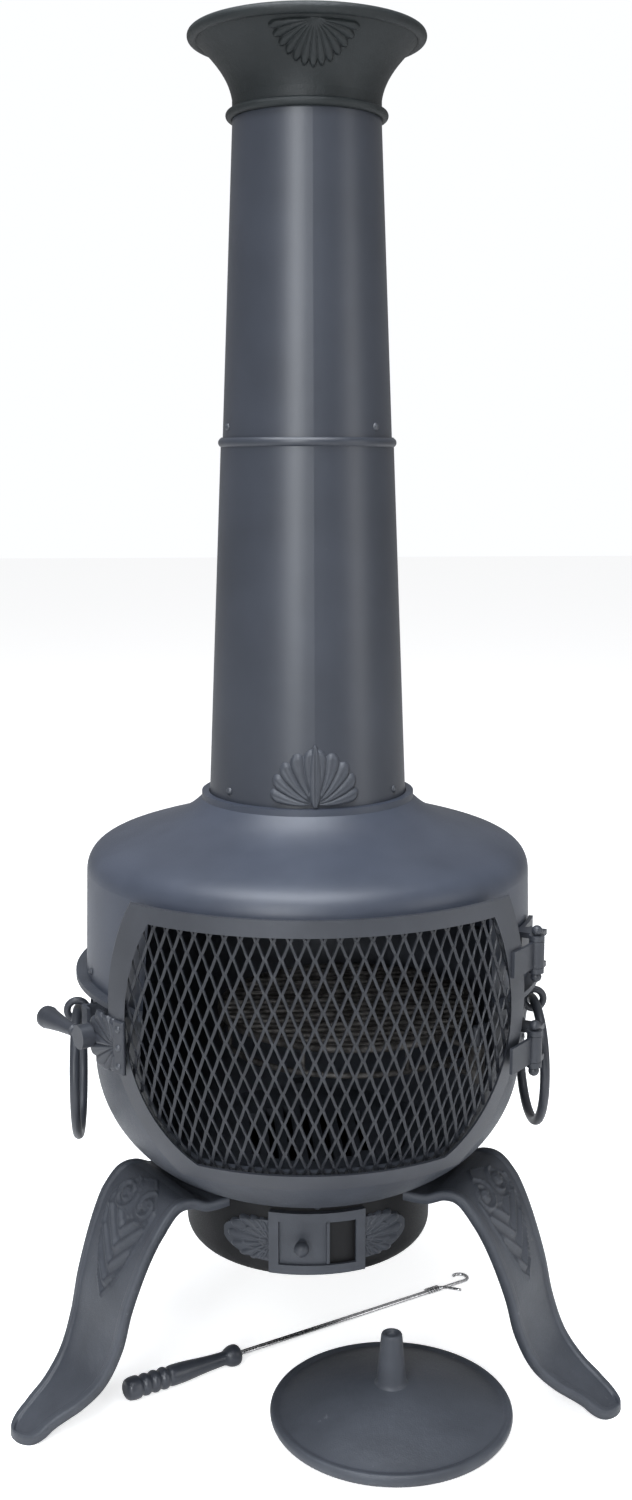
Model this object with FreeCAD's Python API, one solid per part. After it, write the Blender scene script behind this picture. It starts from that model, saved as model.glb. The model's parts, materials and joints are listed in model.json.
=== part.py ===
"""Chiminea: a cast and sheet-metal garden wood burner.

Frame: origin on the floor under the flue axis, +Z up, -Y is the door side.
Azimuth is counted from -Y and grows toward +X. All lengths are millimetres.
Every sub-part has its own function and is written to its own STEP file.
"""
import FreeCAD
import Part

import math
import os

Vec = FreeCAD.Vector
UP = Vec(0, 0, 1)

# Driving dimensions: chimney
crown_rim_r = 101.0
crown_rim_z = 1238.0
crown_roll_r = 5.0
crown_neck_r = 66.6
crown_neck_z = 1172.0
crown_wall = 5.0
crown_bead_r = 4.0
shell_width = 81.0
shell_height = 35.0
flue_wall = 2.0
upper_flue_base_r = 77.7
flue_joint_z = 887.0
flue_bead_r = 4.5
lower_flue_top_r = 79.5
lower_flue_base_r = 93.0
spigot_length = 25.0
spigot_clearance = 0.3
badge_height = 58.0
badge_width = 83.0

# Driving dimensions: firebox
neck_z = 560.0
collar_overhang = 7.5
collar_height = 6.0
socket_depth = 15.0
hood_shoulder_r = 210.0
hood_base_r = 212.5
hood_shoulder_z = 492.0
hood_wall = 3.0
flange_r = 222.7
flange_z = 392.0
flange_thickness = 5.0
bowl_rim_r = 208.0
bowl_wall = 6.0
bowl_turn_z = 305.0
bowl_floor_z = 203.0
bowl_floor_r = 140.0
ash_hole_r = 78.0
grate_overlap = 17.0
grate_thickness = 8.0
grate_slot_width = 8.0
opening_half_width = 160.0
opening_top_z = 484.0
opening_sill_z = 262.0
opening_sill_half_width = 108.0

# Driving dimensions: ash drum and vent
drum_r = 119.8
drum_floor_z = 120.0
drum_wall = 3.0
drum_edge_r = 18.0
vent_z = 160.0
vent_height = 60.0
vent_half_angle = 21.0
vent_bar = 9.0
vent_slide_thickness = 2.0
vent_clearance = 0.4
vent_face_thickness = 3.0
vent_slide_azimuths = (-18.5, 5.5)
vent_port_azimuths = (-15.5, -8.0)
knob_r = 7.0
knob_azimuth = -6.5
leaf_reach = 44.0
leaf_height = 40.0

# Driving dimensions: door
door_r = 226.0
door_low_z = 248.0
door_top_z = 498.0
door_plate = 4.0
door_bar = 15.0
mesh_plate = 2.0
diamond_width = 13.8
diamond_height = 30.0
strand = 2.6
hinge_r = 235.0
hinge_azimuth = 57.0
hinge_heights = {"lower": 345.0, "upper": 434.0}
knuckle_r = 7.0
knuckle_half = 12.0
ear_thickness = 5.0
pin_r = 3.0
pin_clearance = 0.05
axial_clearance = 0.4
latch_azimuth = -51.0
latch_z = 365.0
latch_face = door_r + mesh_plate + door_plate
grip_length = 62.0

# Driving dimensions: legs
leg_azimuths = {"left": -60.0, "right": 60.0, "rear": 180.0}
leg_width = 112.0
leg_thickness = 9.0
leg_border = 8.0
leg_relief = 2.0
leg_toe_width = 49.0
leg_reach = 322.0
leg_pad_r = 137.0
leg_bolt_r = 5.0

# Driving dimensions: rings, grill, lid and poker
ring_centre_r = 60.25
ring_bar_r = 4.75
ring_x = 223.0
ring_centre_z = 287.0
eye_bar_r = 3.5
eye_slack = 1.5
grill_r = 128.0
grill_z = 347.0
grill_drop = 25.0
grill_offset = 40.0
grill_wire_r = 2.5
grill_hoop_r = 3.5
grill_post = (143.0, -134.0)
grill_post_r = 4.0
lid_r = 112.0
lid_centre = (66.0, -151.0)
lid_dome = 35.0
lid_wall = 4.0
stem_height = 50.0
stem_base_r = 13.5
stem_top_r = 9.75
poker_end = (-180.0, -113.0)
poker_tip = (176.0, 94.0)
poker_grip_r = 11.0
poker_grip_length = 126.0
poker_rod_r = 2.0


def polar(radius, azimuth, z=0.0):
    """Point at a radius, azimuth and height."""
    a = math.radians(azimuth)
    return Vec(radius * math.sin(a), -radius * math.cos(a), z)


def spun(shape, azimuth):
    """Turn a shape built at azimuth 0 (facing -Y) to an azimuth."""
    turned = shape.copy()
    turned.rotate(Vec(), UP, azimuth)
    return turned


def section_face(edges):
    """Face in the XZ plane from a closed run of edges."""
    return Part.Face(Part.Wire(edges))


def outline_edges(points):
    """Straight edges through (r, z) points, closed."""
    corners = [Vec(r, 0, z) for r, z in points]
    return [Part.makeLine(a, b) for a, b in zip(corners, corners[1:] + corners[:1])]


def spline_edge(points):
    """Smooth edge through (r, z) points in the XZ plane."""
    curve = Part.BSplineCurve()
    curve.interpolate([Vec(r, 0, z) for r, z in points])
    return curve.toShape()


def revolve(face, start=0.0, sweep=360.0):
    """Revolve an XZ section about Z, from azimuth start through sweep degrees."""
    turned = face.copy()
    turned.rotate(Vec(), UP, start - 90)
    return turned.revolve(Vec(), UP, sweep)


def lathe(points, start=0.0, sweep=360.0):
    """Revolve a closed (r, z) polygon."""
    return revolve(section_face(outline_edges(points)), start, sweep)


def torus(radius, bar_r, z):
    """Ring lying flat about the Z axis."""
    return Part.makeTorus(radius, bar_r, Vec(0, 0, z), UP)


def rod(start, end, radius):
    """Round bar between two points."""
    run = end - start
    return Part.makeCylinder(radius, run.Length, start, run)


def dome_screw(point, direction, head_r, shank):
    """Screw with a domed head; the shank goes inward from the point."""
    out = Vec(direction).normalize()
    ball = Part.makeSphere(head_r, point - out * (head_r * 0.35))
    keep = Part.makeCylinder(head_r * 2, head_r * 2, point, out)
    body = Part.makeCylinder(head_r * 0.5, shank, point, out * -1)
    return ball.common(keep).fuse(body)


def front_prism(edges, depth):
    """Extrude an XZ outline toward the door side."""
    return section_face(edges).extrude(Vec(0, -depth, 0))


def union(shapes):
    """Fuse a list of shapes into one."""
    if len(shapes) == 1:
        return shapes[0]
    return shapes[0].multiFuse(shapes[1:])


# Chimney

def flue_radius(z):
    """Outer radius of the lower flue at a height."""
    share = (z - neck_z) / (flue_joint_z - neck_z)
    return lower_flue_base_r + share * (lower_flue_top_r - lower_flue_base_r)


def chimney_crown():
    """Cast flared mouth with a rolled rim, a bead and a spigot into the flue."""
    rim_z = crown_rim_z
    low = crown_neck_z - crown_bead_r
    inner = crown_neck_r - crown_wall
    spigot = crown_neck_r - flue_wall - spigot_clearance
    flare = crown_rim_r - crown_neck_r
    rise = rim_z - crown_neck_z
    outer = crown_flare()
    bore = [
        (outer[-1][0] - 2, rim_z + crown_wall * 0.5),
        (crown_neck_r + 0.42 * flare, crown_neck_z + 0.79 * rise),
        (crown_neck_r + 0.05 * flare, crown_neck_z + 0.52 * rise),
        (inner, crown_neck_z + 0.2 * rise),
    ]
    foot = [bore[-1], (inner, low - spigot_length), (spigot, low - spigot_length)]
    foot += [(spigot, low), (crown_neck_r, low), outer[0]]
    edges = [spline_edge(outer), spline_edge(bore)]
    edges.append(Part.makeLine(Vec(outer[-1][0], 0, outer[-1][1]), Vec(bore[0][0], 0, bore[0][1])))
    edges += [Part.makeLine(Vec(a[0], 0, a[1]), Vec(b[0], 0, b[1])) for a, b in zip(foot, foot[1:])]
    wire = Part.Wire(Part.__sortEdges__(edges))
    body = revolve(Part.Face(wire))
    body = body.fuse(torus(crown_rim_r, crown_roll_r, rim_z))
    return body.fuse(torus(crown_neck_r + crown_bead_r * 0.5, crown_bead_r, crown_neck_z))


def crown_flare():
    """Outer (r, z) points of the crown's flare, from the neck to the rim."""
    flare = crown_rim_r - crown_neck_r
    rise = crown_rim_z - crown_neck_z
    return [
        (crown_neck_r, crown_neck_z + 0.2 * rise),
        (crown_neck_r + 0.17 * flare, crown_neck_z + 0.47 * rise),
        (crown_neck_r + 0.52 * flare, crown_neck_z + 0.73 * rise),
        (crown_rim_r - crown_roll_r * 0.5, crown_rim_z - crown_roll_r * 0.6),
    ]


def flare_layer(depth):
    """Band of the given depth that lies on the outside of the flare, at the front."""
    near = crown_flare()
    far = [(r + depth * 0.8, z - depth * 0.6) for r, z in near]
    edges = [spline_edge(near), spline_edge(far)]
    for a, b in ((near[0], far[0]), (near[-1], far[-1])):
        edges.append(Part.makeLine(Vec(a[0], 0, a[1]), Vec(b[0], 0, b[1])))
    return revolve(Part.Face(Part.Wire(Part.__sortEdges__(edges))), -34, 68)


def crown_shell():
    """Scallop on the front of the flare: a thin fan with ribs that spread down from its top."""
    top = crown_rim_z - crown_roll_r - 3
    half = shell_width * 0.5
    corners = Vec(-half, 0, top), Vec(0, 0, top - shell_height), Vec(half, 0, top)
    edges = [Part.Arc(*corners).toShape(), Part.makeLine(corners[2], corners[0])]
    fan = flare_layer(1.6).common(front_prism(edges, 140))
    ribs = []
    for step in range(-5, 6):
        tilt = math.radians(step * 15)
        foot = Vec(0, 0, top - 3)
        head = Vec(math.sin(tilt) * (half - 3), 0, top - 3 - math.cos(tilt) * (shell_height - 6))
        side = Vec(head.z - foot.z, 0, foot.x - head.x).normalize()
        run = [foot + side, head + side * 2.4, head - side * 2.4, foot - side]
        rib = Part.Face(Part.makePolygon(run + run[:1])).extrude(Vec(0, -140, 0))
        ribs.append(flare_layer(3.2).common(rib))
    return union([fan] + ribs)


def upper_flue():
    """Sheet cone from the crown down to the flue joint."""
    low = flue_joint_z + flue_bead_r
    top = crown_neck_z - crown_bead_r
    base, head = upper_flue_base_r, crown_neck_r
    return lathe([(base, low), (head, top), (head - flue_wall, top), (base - flue_wall, low)])


def lower_flue():
    """Sheet cone with a rolled bead and a spigot that the upper flue sits over."""
    low = neck_z - socket_depth
    base = flue_radius(low)
    top = flue_joint_z + flue_bead_r
    spigot = upper_flue_base_r - flue_wall - spigot_clearance
    taper = (upper_flue_base_r - crown_neck_r) / (crown_neck_z - flue_joint_z) * spigot_length
    cone = lathe([
        (base, low), (lower_flue_top_r, flue_joint_z), (lower_flue_top_r, top), (spigot, top),
        (spigot - taper, top + spigot_length), (spigot - taper - flue_wall, top + spigot_length),
        (spigot - flue_wall, top), (lower_flue_top_r - flue_wall - 2, flue_joint_z),
        (base - flue_wall, low),
    ])
    bead = torus(lower_flue_top_r - flue_bead_r * 0.45, flue_bead_r, flue_joint_z)
    return cone.fuse(bead)


def flue_badge():
    """Cast palmette badge on the front of the lower flue."""
    low = neck_z + 4
    mid = low + badge_height * 0.5
    half = badge_width * 0.5
    wall = flue_radius(mid)
    span = math.degrees(half / wall)
    shell = lathe([
        (flue_radius(low) + 0.2, low), (flue_radius(low) + 3.2, low),
        (flue_radius(low + badge_height) + 3.2, low + badge_height),
        (flue_radius(low + badge_height) + 0.2, low + badge_height),
    ], -span, 2 * span)
    arch = Part.makeCylinder(half, 2 * wall, Vec(0, 0, low + badge_height - half), Vec(0, -1, 0))
    skirt = Part.makeBox(half, 2 * wall, badge_height, Vec(-half * 0.5, -2 * wall, low))
    fan = shell.common(arch.fuse(skirt))
    ribs = []
    for step in range(-3, 4):
        tilt = step * 6.5
        foot = polar(flue_radius(low) + 2.5, tilt * 0.25, low + 6)
        head = polar(wall + 2.5, tilt, low + badge_height - 5 - abs(step) * 4)
        ribs.append(rod(foot, head, 2.2))
    return union([fan] + ribs)


def flue_joint_screws():
    """Three screws through the foot of the upper flue."""
    z = flue_joint_z + flue_bead_r + 9
    share = (z - flue_joint_z) / (crown_neck_z - flue_joint_z)
    radius = upper_flue_base_r - share * (upper_flue_base_r - crown_neck_r)
    return [dome_screw(polar(radius, a, z), polar(1, a), 4.0, 6.0) for a in (-72, 48, 168)]


def flue_base_screws():
    """Four screws through the foot of the lower flue."""
    z = neck_z + 12
    radius = flue_radius(z)
    return [dome_screw(polar(radius, a, z), polar(1, a), 4.0, 6.0) for a in (-55, 55, 125, -125)]


# Firebox

def opening_edges(margin=0.0):
    """Outline of the firebox mouth seen from the front, grown by a margin."""
    half = opening_half_width + margin
    sill = opening_sill_half_width + margin
    top = opening_top_z + margin
    low = opening_sill_z - margin
    side_z = flange_z - 55
    left = spline_edge([(-sill, low), (-half * 0.9, low + (side_z - low) * 0.5), (-half, side_z)])
    right = spline_edge([(half, side_z), (half * 0.9, low + (side_z - low) * 0.5), (sill, low)])
    shoulder = half * 0.93
    edges = [left]
    edges.append(Part.makeLine(Vec(-half, 0, side_z), Vec(-shoulder, 0, top)))
    edges.append(Part.makeLine(Vec(-shoulder, 0, top), Vec(shoulder, 0, top)))
    edges.append(Part.makeLine(Vec(shoulder, 0, top), Vec(half, 0, side_z)))
    edges.append(right)
    edges.append(Part.makeLine(Vec(sill, 0, low), Vec(-sill, 0, low)))
    return edges


def hood():
    """Spun sheet hood with a neck collar, open at the front."""
    socket = flue_radius(neck_z - socket_depth)
    collar = lower_flue_base_r + collar_overhang
    foot = flange_z + flange_thickness * 0.5
    t = hood_wall
    sweep = hood_shoulder_r - collar
    drop = neck_z - hood_shoulder_z
    outer = [
        (collar + 0.03 * sweep, neck_z - 0.09 * drop),
        (collar + 0.32 * sweep, neck_z - 0.37 * drop),
        (collar + 0.74 * sweep, neck_z - 0.58 * drop),
        (collar + 0.93 * sweep, neck_z - 0.74 * drop),
        (hood_shoulder_r, hood_shoulder_z),
    ]
    inner = [(r - t * 0.7, z - t) for r, z in reversed(outer)]
    inner[-1] = (socket, neck_z - socket_depth)
    edges = [spline_edge(outer), spline_edge(inner)]
    rim = [outer[-1], (hood_base_r, foot), (hood_base_r - t, foot), inner[0]]
    neck_top = neck_z + collar_height * 0.5
    neck = [inner[-1], (socket, neck_top), (collar, neck_top), (collar, neck_top - collar_height), outer[0]]
    for run in (rim, neck):
        edges += [Part.makeLine(Vec(a[0], 0, a[1]), Vec(b[0], 0, b[1])) for a, b in zip(run, run[1:])]
    shell = revolve(Part.Face(Part.Wire(Part.__sortEdges__(edges))))
    return shell.cut(front_prism(opening_edges(), hood_base_r + 40))


def bowl_section(inset, floor_z):
    """Rim, turn and floor edge of the bowl's wall, moved inward by an inset."""
    turn = Vec(bowl_rim_r - 2 - inset, 0, bowl_turn_z)
    edge = Vec(bowl_floor_r, 0, floor_z)
    bulge_r = bowl_rim_r - 0.3 * (bowl_rim_r - bowl_floor_r) - 0.78 * inset
    bulge_z = bowl_turn_z - 0.57 * (bowl_turn_z - bowl_floor_z) + 0.62 * inset
    return turn, Vec(bulge_r, 0, bulge_z), edge


def bowl():
    """Cast bowl with a flange, an ash hole and a cut-away front."""
    t = bowl_wall
    top = flange_z + flange_thickness * 0.5
    under = top - flange_thickness
    turn, bulge, edge = bowl_section(0, bowl_floor_z)
    inner_turn, inner_bulge, inner_edge = bowl_section(t, bowl_floor_z + t)
    floor_r = ash_hole_r
    rim = [turn, Vec(bowl_rim_r, 0, under), Vec(flange_r, 0, under), Vec(flange_r, 0, top)]
    rim += [Vec(bowl_rim_r - t, 0, top), inner_turn]
    floor = [inner_edge, Vec(floor_r, 0, inner_edge.z), Vec(floor_r, 0, bowl_floor_z), edge]
    edges = [Part.makeLine(a, b) for a, b in zip(rim, rim[1:])]
    edges.append(Part.Arc(inner_turn, inner_bulge, inner_edge).toShape())
    edges += [Part.makeLine(a, b) for a, b in zip(floor, floor[1:])]
    edges.append(Part.Arc(edge, bulge, turn).toShape())
    shell = revolve(section_face(edges))
    return shell.cut(front_prism(opening_edges(), flange_r + 40))


def fire_grate():
    """Slotted cast disc over the ash hole."""
    radius = ash_hole_r + grate_overlap
    z = bowl_floor_z + bowl_wall
    disc = Part.makeCylinder(radius, grate_thickness, Vec(0, 0, z))
    slots = []
    pitch = grate_slot_width * 2.2
    count = int((ash_hole_r - grate_slot_width) / pitch)
    for step in range(-count, count + 1):
        x = step * pitch
        half = math.sqrt(ash_hole_r ** 2 - x ** 2) - grate_slot_width
        corner = Vec(x - grate_slot_width * 0.5, -half, z - 1)
        slots.append(Part.makeBox(grate_slot_width, 2 * half, grate_thickness + 2, corner))
    return disc.cut(Part.makeCompound(slots))


def hood_screws():
    """Screws through the hood wall just above the flange."""
    z = flange_z + 12
    return [dome_screw(polar(hood_base_r, a, z), polar(1, a), 4.0, 7.0) for a in (-75, 78, 130, 180, -130)]


def flange_bolts():
    """Bolt heads on the bowl wall just under the flange."""
    z = flange_z - 14
    return [dome_screw(polar(bowl_rim_r - 1, a, z), polar(1, a), 5.0, 9.0) for a in (-78, 82, 180)]


# Ash drum and vent

def ash_drum():
    """Closed drum under the bowl that catches the ash, ported behind the vent."""
    e = drum_edge_r
    t = drum_wall
    top = bowl_floor_z
    centre = Vec(drum_r - e, 0, drum_floor_z + e)
    edges = []
    for radius in (e, e - t):
        diagonal = radius * 0.7071
        start, end = centre + Vec(radius, 0, 0), centre + Vec(0, 0, -radius)
        edges.append(Part.Arc(start, centre + Vec(diagonal, 0, -diagonal), end).toShape())
    wall = [(drum_r, drum_floor_z + e), (drum_r, top), (drum_r - t, top), (drum_r - t, drum_floor_z + e)]
    base = drum_floor_z
    floor = [(drum_r - e, base), (0, base), (0, base + t), (drum_r - e, base + t)]
    for run in (wall, floor):
        edges += [Part.makeLine(Vec(a[0], 0, a[1]), Vec(b[0], 0, b[1])) for a, b in zip(run, run[1:])]
    drum = revolve(Part.Face(Part.Wire(Part.__sortEdges__(edges))))
    low, high = vent_window()
    port = lathe([(drum_r - t - 2, low), (drum_r + 2, low), (drum_r + 2, high), (drum_r - t - 2, high)],
                 vent_port_azimuths[0], vent_port_azimuths[1] - vent_port_azimuths[0])
    return drum.cut(port)


def vent_window():
    """Lowest and highest z of the vent's window."""
    return vent_z - vent_height * 0.5 + vent_bar, vent_z + vent_height * 0.5 - vent_bar


def vent_frame():
    """Curved frame that guides the slide, with a ribbed leaf at each side."""
    low, high = vent_window()
    gap = vent_clearance
    track = vent_slide_thickness + 2 * gap
    face = drum_r + track
    outer = face + vent_face_thickness
    lap = 4.0
    frame = lathe([(drum_r, low - vent_bar), (outer, low - vent_bar), (outer, high + vent_bar),
                   (drum_r, high + vent_bar)], -vent_half_angle, 2 * vent_half_angle)
    side = math.degrees(vent_bar / drum_r)
    track_angle = vent_half_angle - side + 2.5
    back = drum_r - 1
    channel = lathe([(back, low - lap), (face, low - lap), (face, high + lap), (back, high + lap)],
                    -track_angle, 2 * track_angle)
    window = lathe([(back, low), (outer + 1, low), (outer + 1, high), (back, high)],
                   side - vent_half_angle, 2 * (vent_half_angle - side))
    frame = frame.cut(channel).cut(window)
    leaves = []
    for sign in (-1, 1):
        reach = math.radians(leaf_reach - vent_half_angle) * drum_r
        start = vent_half_angle * sign
        sweep = leaf_reach - vent_half_angle
        shell = lathe([(drum_r, vent_z - leaf_height * 0.5), (drum_r + 3, vent_z - leaf_height * 0.5),
                       (drum_r + 3, vent_z + leaf_height * 0.5), (drum_r, vent_z + leaf_height * 0.5)],
                      start if sign > 0 else start - sweep, sweep)
        oval = Part.makeCylinder(1, 60, Vec(), Vec(0, -1, 0))
        stretch = FreeCAD.Matrix()
        stretch.A11 = reach * 1.02
        stretch.A33 = leaf_height * 0.5
        oval = oval.transformGeometry(stretch)
        oval.translate(Vec(0, -drum_r * 0.7, 0))
        oval.rotate(Vec(), UP, start)
        oval.translate(Vec(0, 0, vent_z))
        leaves.append(shell.common(oval))
        for rib in (-1, 0, 1):
            foot = polar(drum_r + 2.5, sign * (vent_half_angle + 1), vent_z + rib * 11)
            head = polar(drum_r + 2.5, sign * (leaf_reach - 5 - 5 * abs(rib)), vent_z + rib * 6)
            middle = polar(drum_r + 2.5, sign * (vent_half_angle + leaf_reach) * 0.48, vent_z + rib * 9.5)
            leaves.append(rod(foot, middle, 1.8).fuse(rod(middle, head, 1.8)))
    return union([frame] + leaves)


def vent_slide():
    """Curved plate that slides over the air port, with an upright rib near its edge."""
    low, high = vent_window()
    start, end = vent_slide_azimuths
    lap = 4.0 - vent_clearance
    inside = drum_r + vent_clearance
    outside = inside + vent_slide_thickness
    plate = lathe([(inside, low - lap), (outside, low - lap), (outside, high + lap), (inside, high + lap)],
                  start, end - start)
    rib = lathe([(inside, low + 1), (outside + 2.5, low + 1), (outside + 2.5, high - 1), (inside, high - 1)],
                end - 1.6, 1.2)
    return plate.fuse(rib)


def vent_knob():
    """Ball knob on a short stem."""
    outside = drum_r + vent_clearance + vent_slide_thickness
    stem = rod(polar(outside, knob_azimuth, vent_z), polar(outside + 8, knob_azimuth, vent_z), 3.0)
    return stem.fuse(Part.makeSphere(knob_r, polar(outside + 8 + knob_r * 0.7, knob_azimuth, vent_z)))


def drum_bolts():
    """Bolt heads that hold the drum's rim to the bowl."""
    z = bowl_floor_z - 8
    return [dome_screw(polar(drum_r, a, z), polar(1, a), 4.0, 5.0) for a in (0, 120, -120)]


# Door

def door_profile(offset=0.0):
    """Points of the door's inner face, moved outward by an offset."""
    foot_r = bowl_rim_r - 0.19 * (bowl_rim_r - bowl_floor_r)
    return [
        (door_r + offset, door_top_z),
        (door_r + offset, flange_z + 6),
        (door_r - 3 + offset, flange_z - 30),
        (foot_r + 18 + offset * 0.97, bowl_turn_z + 3),
        (foot_r + 7 + offset * 0.9, bowl_turn_z - 0.38 * (bowl_turn_z - bowl_floor_z)),
        (foot_r - 6 + offset * 0.8, opening_sill_z - 24),
    ]


def door_layer(inner, outer):
    """Curved sheet between two offsets from the door's inner face."""
    near = door_profile(inner)
    far = door_profile(outer)
    edges = [spline_edge(near[1:]), spline_edge(far[1:])]
    for run in ([near[1], near[0], far[0], far[1]], [near[-1], far[-1]]):
        edges += [Part.makeLine(Vec(a[0], 0, a[1]), Vec(b[0], 0, b[1])) for a, b in zip(run, run[1:])]
    return revolve(Part.Face(Part.Wire(Part.__sortEdges__(edges))), -70, 140)


def door_outline(inset=0.0):
    """Front outline of the door, pulled in by an inset."""
    top = door_top_z - inset
    low = door_low_z + inset
    waist_z = flange_z + 5
    turn_z = bowl_turn_z + 12
    left = [(-124 + inset, low), (-171 + inset, turn_z), (-186 + inset, waist_z), (-164 + inset, top)]
    right = [(164 - inset, top), (184 - inset, waist_z), (170 - inset, turn_z), (124 - inset, low)]
    across = Part.makeLine(Vec(left[-1][0], 0, top), Vec(right[0][0], 0, top))
    back = Part.makeLine(Vec(right[-1][0], 0, low), Vec(left[0][0], 0, low))
    return [spline_edge(left), across, spline_edge(right), back]


def door_bars():
    """The four flat bars of the door's frame."""
    sheet = door_layer(mesh_plate, mesh_plate + door_plate)
    ring = sheet.common(front_prism(door_outline(), 300)).cut(front_prism(door_outline(door_bar), 300))
    cut_top = door_top_z - door_bar
    cut_low = door_low_z + door_bar
    high = Part.makeBox(600, 400, 100, Vec(-300, -400, cut_top))
    deep = Part.makeBox(600, 400, 200, Vec(-300, -400, cut_low - 200))
    middle = ring.cut(high).cut(deep)
    west = Part.makeBox(300, 400, 600, Vec(-300, -400, 0))
    east = Part.makeBox(300, 400, 600, Vec(0, -400, 0))
    return {
        "door_bar_top": ring.common(high),
        "door_bar_bottom": ring.common(deep),
        "door_bar_left": middle.common(west),
        "door_bar_right": middle.common(east),
    }


def door_mesh():
    """Expanded-metal sheet of the door: a curved plate with diamond holes."""
    margin = 3.0
    sheet = door_layer(0, mesh_plate).common(front_prism(door_outline(margin), 300))
    step_angle = math.degrees(diamond_width / door_r)
    rows = int((door_top_z - opening_sill_z) / (diamond_height * 0.5)) - 1
    columns = int(45 / step_angle)
    holes = []
    half_w = (diamond_width - strand) * 0.5
    half_h = (diamond_height - strand * 2) * 0.5
    for row in range(rows):
        z = opening_sill_z + 2 + (row + 1) * diamond_height * 0.5
        shift = 0.5 * (row % 2)
        for column in range(-columns, columns + 1):
            azimuth = (column + shift) * step_angle
            x = door_r * math.sin(math.radians(azimuth))
            limit = 146 - max(0, flange_z - 60 - z) * 0.62
            if abs(x) > limit or z > door_top_z - door_bar - 8:
                continue
            corners = [Vec(-half_w, -150, z), Vec(0, -150, z + half_h)]
            corners += [Vec(half_w, -150, z), Vec(0, -150, z - half_h)]
            diamond = Part.Face(Part.makePolygon(corners + corners[:1])).extrude(Vec(0, -110, 0))
            holes.append(spun(diamond, azimuth))
    return sheet.cut(Part.makeCompound(holes))


def hinge_axis(z):
    """Point on the door's hinge line at a height."""
    return polar(hinge_r, hinge_azimuth, z)


def hinge_bracket(z):
    """Two ears that hold the pin, on a plate that lies on the firebox wall."""
    wall = hood_base_r if z > flange_z else bowl_rim_r - 1
    half = knuckle_half + axial_clearance + ear_thickness
    plate = lathe([(wall, z - half), (wall + 4, z - half), (wall + 4, z + half), (wall, z + half)],
                  hinge_azimuth + 3, 13)
    ears = []
    reach = hinge_r + 2
    for low in (z - half, z + half - ear_thickness):
        high = low + ear_thickness
        arm = lathe([(wall, low), (reach, low), (reach, high), (wall, high)], hinge_azimuth + 0.5, 5)
        boss = Part.makeCylinder(knuckle_r, ear_thickness, hinge_axis(low))
        ears.append(arm.fuse(boss).cut(Part.makeCylinder(pin_r, ear_thickness + 2, hinge_axis(low - 1))))
    return union([plate] + ears)


def hinge_pin(z):
    """Pin with a ball at each end."""
    half = knuckle_half + axial_clearance + ear_thickness + 1
    pin = Part.makeCylinder(pin_r, 2 * half, hinge_axis(z - half))
    balls = [Part.makeSphere(pin_r + 2, hinge_axis(z + sign * (half + pin_r))) for sign in (-1, 1)]
    return union([pin] + balls)


def door_knuckle(z):
    """Knuckle that turns on the pin, with a leaf that reaches the door's bar."""
    barrel = Part.makeCylinder(knuckle_r, 2 * knuckle_half, hinge_axis(z - knuckle_half))
    inside = door_r + mesh_plate + door_plate
    leaf = lathe([(inside, z - knuckle_half), (inside + 3, z - knuckle_half), (inside + 3, z + knuckle_half),
                  (inside, z + knuckle_half)], hinge_azimuth - 10.5, 10)
    bore = Part.makeCylinder(pin_r + pin_clearance, 2 * knuckle_half + 2, hinge_axis(z - knuckle_half - 1))
    return barrel.fuse(leaf).cut(bore)


def hinge_screws():
    """Screws through the hinge plates."""
    screws = []
    for z in hinge_heights.values():
        wall = (hood_base_r if z > flange_z else bowl_rim_r - 1) + 4
        for rise in (-8, 8):
            azimuth = hinge_azimuth + 12
            screws.append(dome_screw(polar(wall, azimuth, z + rise), polar(1, azimuth), 3.5, 9.0))
    return screws


# Latch

def latch_frame():
    """Hub centre, outward direction and the tangent that points to the grip."""
    out = polar(1, latch_azimuth - 9)
    along = Vec(out.y, -out.x, 0)
    hub = polar(latch_face, latch_azimuth - 9, latch_z)
    return hub, out, along


def latch_plate():
    """Riveted strip and ribbed leaf that carry the latch on the door."""
    low, high = latch_z - 24, latch_z + 24
    strip = lathe([(latch_face, low), (latch_face + 3, low), (latch_face + 3, high), (latch_face, high)],
                  latch_azimuth + 0.5, 3)
    leaf = lathe([(latch_face, latch_z - 21), (latch_face + 3, latch_z - 21), (latch_face + 3, latch_z + 21),
                  (latch_face, latch_z + 21)], latch_azimuth - 12, 12.6)
    hub, out, along = latch_frame()
    body = strip.fuse(leaf)
    ribs = [lathe([(latch_face + 2.5, latch_z + z - 2), (latch_face + 4.5, latch_z + z - 2),
                   (latch_face + 4.5, latch_z + z + 2), (latch_face + 2.5, latch_z + z + 2)],
                  latch_azimuth - 6, 6) for z in (-14, 0, 14)]
    bore = Part.makeCylinder(pin_r + 1 + pin_clearance, 30, hub - out * 15, out)
    return union([body] + ribs).cut(bore)


def latch_rivets():
    """Rivets through the latch strip."""
    azimuth = latch_azimuth + 2
    return [dome_screw(polar(latch_face + 3, azimuth, latch_z + z), polar(1, azimuth), 3.5, 5.0)
            for z in (-17, 0, 17)]


def latch_lever():
    """Spindle with an outer hub and an inner tongue."""
    hub, out, along = latch_frame()
    outer = Part.makeCylinder(11, 12, hub + out * (3 + axial_clearance), out)
    spindle = Part.makeCylinder(pin_r + 1, 20, hub - out * 10, out)
    tongue = Part.makeBox(12, 26, 4, Vec(-6, -6, 0))
    turn = FreeCAD.Rotation(Vec(0, 0, 1), out)
    tongue.Placement = FreeCAD.Placement(hub - out * 10, turn)
    probe = turn.multVec(Vec(0, 1, 0))
    tilt = math.degrees(probe.getAngle(UP))
    tongue.rotate(hub, out, -tilt if probe.cross(UP).dot(out) < 0 else tilt)
    return union([outer, spindle, tongue])


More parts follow.
